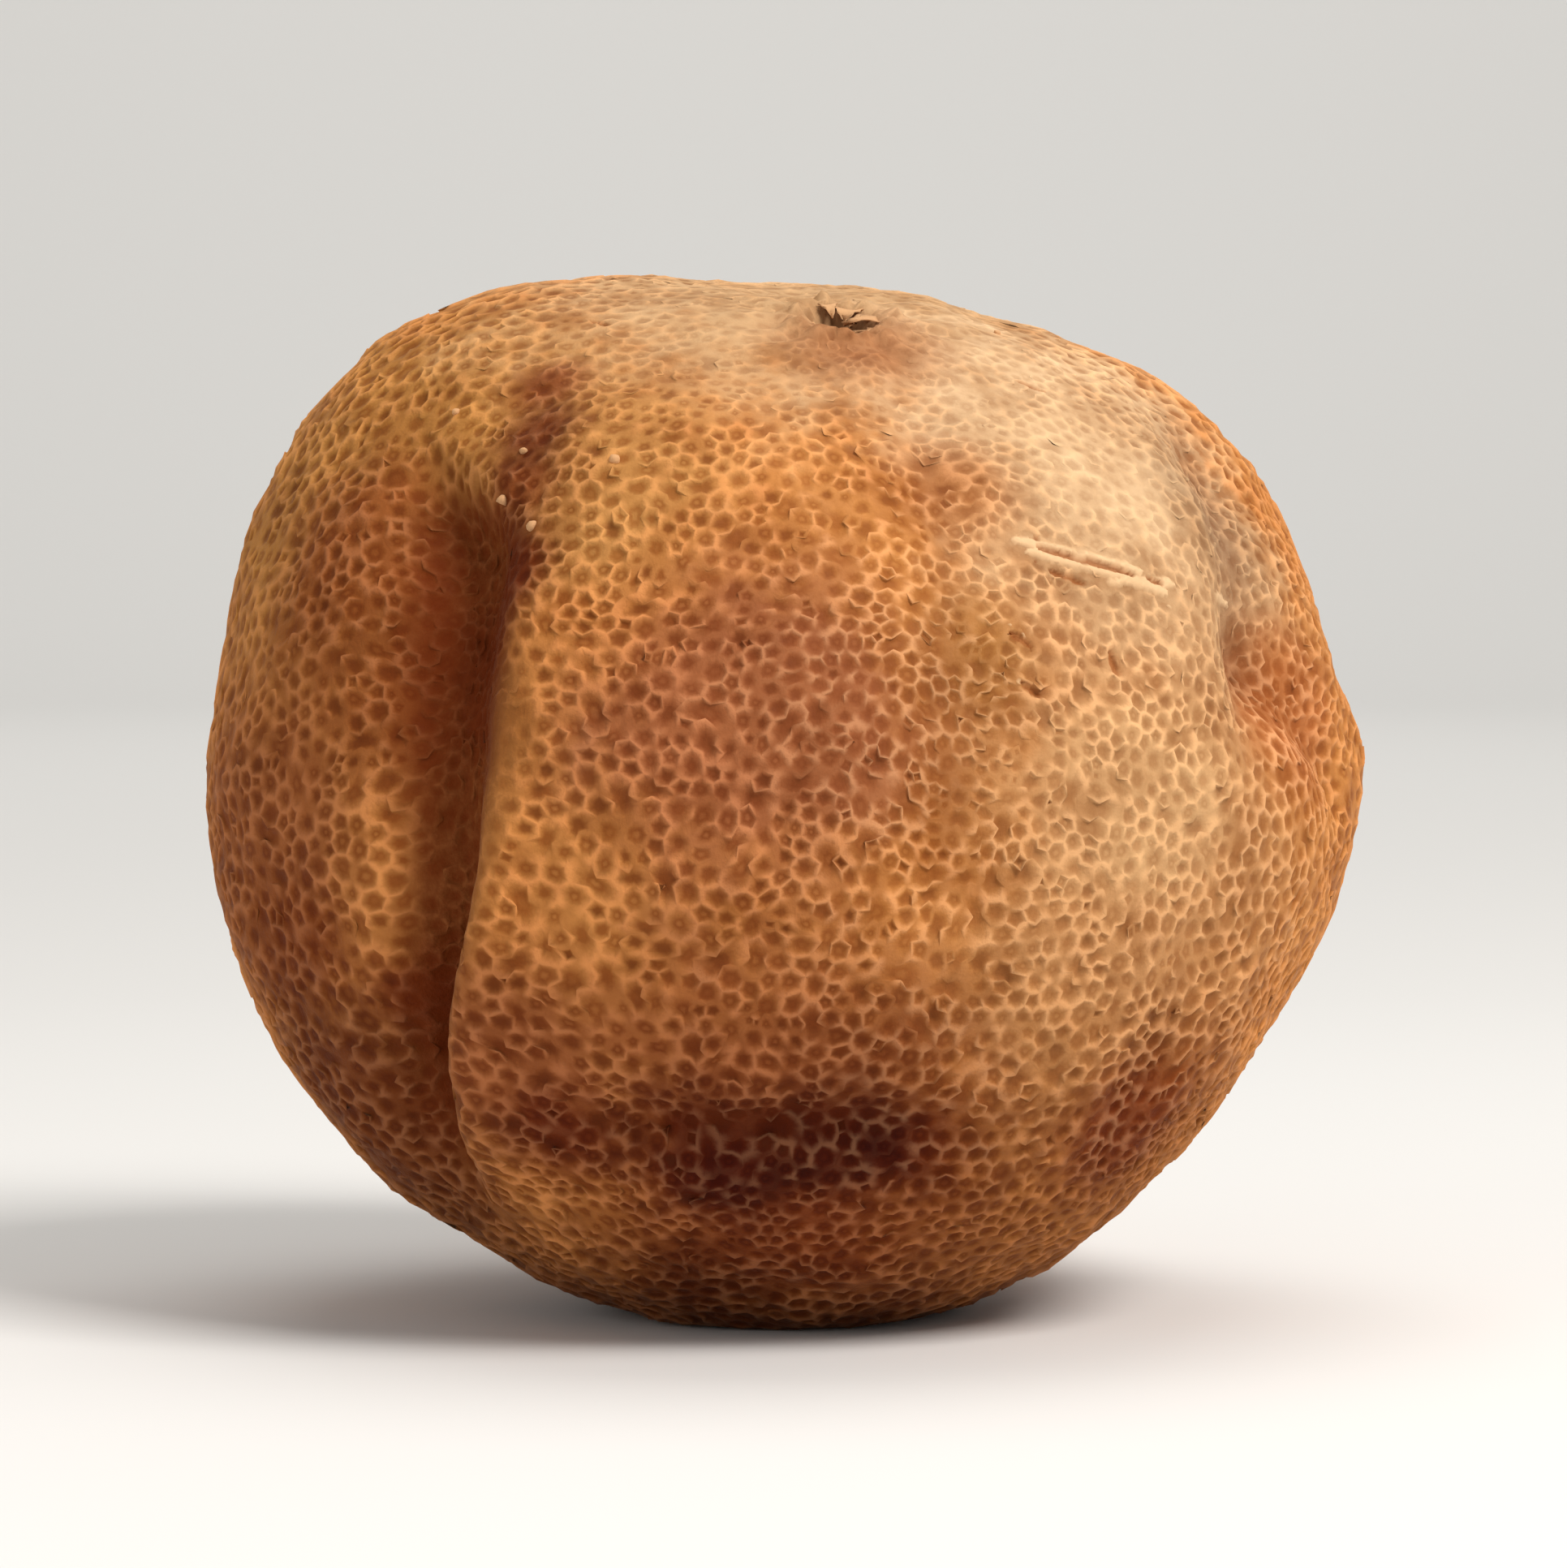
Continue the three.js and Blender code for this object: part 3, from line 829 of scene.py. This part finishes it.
def rind_paint(rind_tree):
    material = bpy.data.materials.new("dried rind")
    material.use_nodes = True
    tree = material.node_tree
    shader = tree.nodes["Principled BSDF"]
    shader.inputs["Specular IOR Level"].default_value = SPECULAR_LEVEL
    shader.inputs["Sheen Weight"].default_value = SHEEN
    shader.inputs["Sheen Roughness"].default_value = SHEEN_ROUGHNESS
    shader.inputs["Sheen Tint"].default_value = paint(SHEEN_TINT)
    place = tree.nodes.new("ShaderNodeTexCoord").outputs["Object"]
    marks = {}
    for name in ("ridge", "tone", "strong", "netted", "fold_shade", "pit", "lip", "loose", "edge", "slit"):
        marks[name] = add(tree, "ShaderNodeAttribute", {"attribute_name": name}).outputs["Fac"]
    ridge, tone, netted = marks["ridge"], marks["tone"], marks["netted"]
    grain = add(tree, "ShaderNodeGroup", {"node_tree": rind_grain_group()}, Place=place)
    fleck = grain.outputs["Fleck"]

    # Blotches and clouds of colour
    broad = noise_at(tree, place, 190.0, 3.0, 0.6)
    fine = noise_at(tree, place, 900.0, 2.0, 0.6)
    wander = calc(tree, "MULTIPLY_ADD", broad, 1.1, calc(tree, "MULTIPLY_ADD", fine, 0.5, -0.8))
    colour = paint(GROUND)
    blotch = blotch_group()

    def patch(middle, radius, softness):
        return add(
            tree, "ShaderNodeGroup", {"node_tree": blotch}, Place=place, Wander=wander,
            Middle=middle, Radius=radius * MM, Softness=softness * radius * MM,
        ).outputs["Mask"]

    # Blotches of colour; the low dark ones are painted shade on the underside
    for middle, radius, softness, code in BLOTCHES_AND_UNDERSIDE_SHADE:
        colour = blend(tree, patch(Vector(middle) * MM, radius, softness), colour, paint(code))
    cloud = span(tree, noise_at(tree, place, 380.0, 6.0, 0.65), 0.35, 0.7, 0.0, CLOUD_SHARE)
    colour = blend(tree, cloud, colour, paint(CLOUD_SHADE), "MULTIPLY")
    # Darker marks on the front; the low ones and the one below the scar are painted shade
    for across, up, radius, code in FRONT_MARKS_AND_SHADE:
        darkened = blend(tree, 1.0, colour, paint(code), "MULTIPLY")
        mask = patch(on_front(rind_tree, across, up), radius, FRONT_MARK_SOFTNESS)
        colour = blend(tree, mask, colour, darkened)

    # Dark floors of the cells, some with a pale bubble, and pale ridges between them
    middle, radius, softness = CALM_SIDE
    calm = patch(Vector(middle) * MM, radius, softness)
    clear = span(tree, netted, 0.08, 0.8, 0.25, 1.0)
    uneven = calc(tree, "MULTIPLY_ADD", fleck, 0.9, calc(tree, "MULTIPLY_ADD", fine, 0.8, -0.85))
    worn = calc(tree, "ADD", ridge, uneven)
    spot = calc(tree, "MULTIPLY", span(tree, worn, 0.45, -0.5), clear)
    bubble = calc(tree, "MULTIPLY", span(tree, ridge, -0.3, -0.85), span(tree, tone, 0.35, 0.85))
    spot = calc(tree, "MULTIPLY", spot, calc(tree, "MULTIPLY_ADD", bubble, -BUBBLE_SHARE, 1.0))
    spot = calc(tree, "MULTIPLY", spot, calc(tree, "MULTIPLY_ADD", calm, -CALM_SPOTS_LOST, 1.0))
    spotted = blend(tree, spot, colour, blend(tree, 1.0, colour, paint(SPOT_SHADE), "MULTIPLY"))
    deep = calc(tree, "MULTIPLY", spot, span(tree, tone, 0.35, 0.0))
    spotted = blend(tree, calc(tree, "MULTIPLY", deep, DEEP_SPOT_SHARE), spotted, paint(DEEP_SPOT))
    line = calc(tree, "MULTIPLY", span(tree, worn, 0.15, 0.95), clear)
    kept = calc(tree, "MULTIPLY", span(tree, marks["strong"], 0.1, 0.9, 0.1, 1.0), line)
    paler = calc(tree, "MULTIPLY_ADD", calm, RIDGE_PALER_CALM, RIDGE_PALER)
    raised = blend(tree, paler, blend(tree, 1.0, colour, RIDGE_LIGHTER, "MULTIPLY"), paint(RIDGE_TINT))
    shown = calc(tree, "MULTIPLY", kept, span(tree, broad, 0.35, 0.6, 0.7, 1.0))
    colour = blend(tree, shown, spotted, raised)

    # Streaked lip, painted shade in the crease and furrows, and the darker pit of the scar
    streaks = span(tree, grain.outputs["Height"], 0.42, 0.58, 0.75, 0.4)
    lip = calc(tree, "MULTIPLY", span(tree, marks["lip"], 0.1, 0.9), streaks)
    colour = blend(tree, lip, colour, paint(LIP_TINT))
    # Painted shade in the crease and the furrows, mottled a little
    mottled = span(tree, fleck, 0.2, 0.7, 0.82, 1.0)
    fold = calc(tree, "MULTIPLY", span(tree, marks["fold_shade"], 0.05, 0.62), mottled)
    colour = blend(tree, calc(tree, "MULTIPLY", fold, FOLD_PAINTED_SHADE_SHARE), colour, paint(FOLD_PAINTED_SHADE))
    # Darker in the pit
    colour = blend(tree, span(tree, marks["pit"], 0.2, 0.9), colour, paint(PIT_DARKENING))

    # Pale crumbs and flakes, the flakes partly painted light; a painted highlight on the raised edges of the
    # scratch; and darker slits
    for name, share, code in (
        ("loose", CRUMB_SHARE, CRUMB_TINT), ("edge", EDGE_HIGHLIGHT_SHARE, EDGE_HIGHLIGHT), ("slit", SLIT_SHARE, SLIT_DARKENING),
    ):
        colour = blend(tree, calc(tree, "MULTIPLY", marks[name], share), colour, paint(code))
    tree.links.new(colour, shader.inputs["Base Color"])
    tree.links.new(span(tree, fleck, 0.3, 0.7, 0.58, 0.78), shader.inputs["Roughness"])
    height = calc(tree, "MULTIPLY_ADD", kept, 0.5, grain.outputs["Height"])
    bump = add(tree, "ShaderNodeBump", Height=height, Strength=BUMP_STRENGTH, Distance=BUMP_DISTANCE)
    tree.links.new(bump.outputs["Normal"], shader.inputs["Normal"])
    return material


def whole_lime():
    draw = random.Random(SEED)
    noise.seed_set(SEED)
    bm = shaken_cells(draw)
    sink_floors(bm, draw)
    draw_over_fruit(bm)
    rind_tree = BVHTree.FromBMesh(bm)
    draw_strokes(bm, rind_tree)
    loose = bm.verts.layers.float.new("loose")
    add_flakes(bm, loose)
    add_crumbs(bm, loose, rind_tree)
    return piece_from(bm, "rind_and_net", rind_paint(rind_tree))


# Pale paper under and behind the fruit, and the light of the room, as linear colours
PAPER = (0.75, 0.74, 0.72, 1.0)
ROOM_LIGHT = (0.95, 0.94, 0.92, 1.0)
ROOM_STRENGTH = 0.42


def sweep():
    """The floor and the wall behind it, one pale sheet with a wide bend."""
    bm = bmesh.new()
    wide = Matrix.Diagonal((4.0, 1.0, 1.0, 1.0))
    bmesh.ops.create_grid(bm, x_segments=1, y_segments=1, size=0.7, matrix=wide)
    back = max(bm.edges, key=lambda edge: sum(vert.co.y for vert in edge.verts))
    bmesh.ops.spin(
        bm, geom=[back, *back.verts], cent=(0.0, 0.7, 0.4), axis=(1.0, 0.0, 0.0), dvec=(0.0, 0.0, 0.0),
        angle=math.radians(90.0), steps=24, use_duplicate=False,
    )
    mesh = bpy.data.meshes.new("sweep")
    for face in bm.faces:
        face.smooth = True
    bm.to_mesh(mesh)
    bm.free()
    material = bpy.data.materials.new("pale paper")
    material.use_nodes = True
    paper = material.node_tree.nodes["Principled BSDF"]
    paper.inputs["Base Color"].default_value = PAPER
    paper.inputs["Roughness"].default_value = 0.9
    mesh.materials.append(material)
    sheet = bpy.data.objects.new("sweep", mesh)
    bpy.context.scene.collection.objects.link(sheet)


# Camera: what it looks at, how far off and how high it stands, and how wide a view it takes there
LOOK_AT = Vector((0.0, 0.0, 19.2)) * MM
CAMERA_DISTANCE = 0.237
CAMERA_ELEVATION = 2.5
FRAME_WIDTH = 0.0575


def aimed(thing, place, target=LOOK_AT):
    thing.location = place
    thing.rotation_mode = "QUATERNION"
    thing.rotation_quaternion = (Vector(target) - Vector(place)).to_track_quat("-Z", "Y")
    bpy.context.scene.collection.objects.link(thing)
    return thing


def camera():
    lens = bpy.data.cameras.new("camera")
    lens.sensor_width = 36.0
    lens.lens = lens.sensor_width * CAMERA_DISTANCE / FRAME_WIDTH
    lens.clip_start = 0.01
    rise = math.radians(CAMERA_ELEVATION)
    back = Vector((0.0, -math.cos(rise), math.sin(rise)))
    bpy.context.scene.camera = aimed(bpy.data.objects.new("camera", lens), LOOK_AT + back * CAMERA_DISTANCE)


def soft_light(name, place, width, watts, tint, target=LOOK_AT):
    light = bpy.data.lights.new(name, "AREA")
    light.size = width
    light.energy = watts
    light.color = tint
    aimed(bpy.data.objects.new(name, light), place, target)


def studio():
    soft_light("key", (0.26, -0.24, 0.38), 0.2, 2.4, (1.0, 0.97, 0.94))
    soft_light("fill", (-0.4, -0.35, 0.16), 0.35, 0.5, (1.0, 0.98, 0.96))
    soft_light("top", (0.02, 0.12, 0.5), 0.35, 0.9, (1.0, 0.98, 0.95))
    soft_light("backdrop", (0.0, 0.5, 0.6), 0.5, 2.0, (1.0, 0.99, 0.97), (0.0, 1.1, 0.25))
    world = bpy.data.worlds.new("room")
    world.use_nodes = True
    room = world.node_tree.nodes["Background"]
    room.inputs["Color"].default_value = ROOM_LIGHT
    room.inputs["Strength"].default_value = ROOM_STRENGTH
    bpy.context.scene.world = world
    bpy.context.scene.view_settings.view_transform = "Standard"


camera()
studio()
sweep()
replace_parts(whole_lime(), "dried_lime")
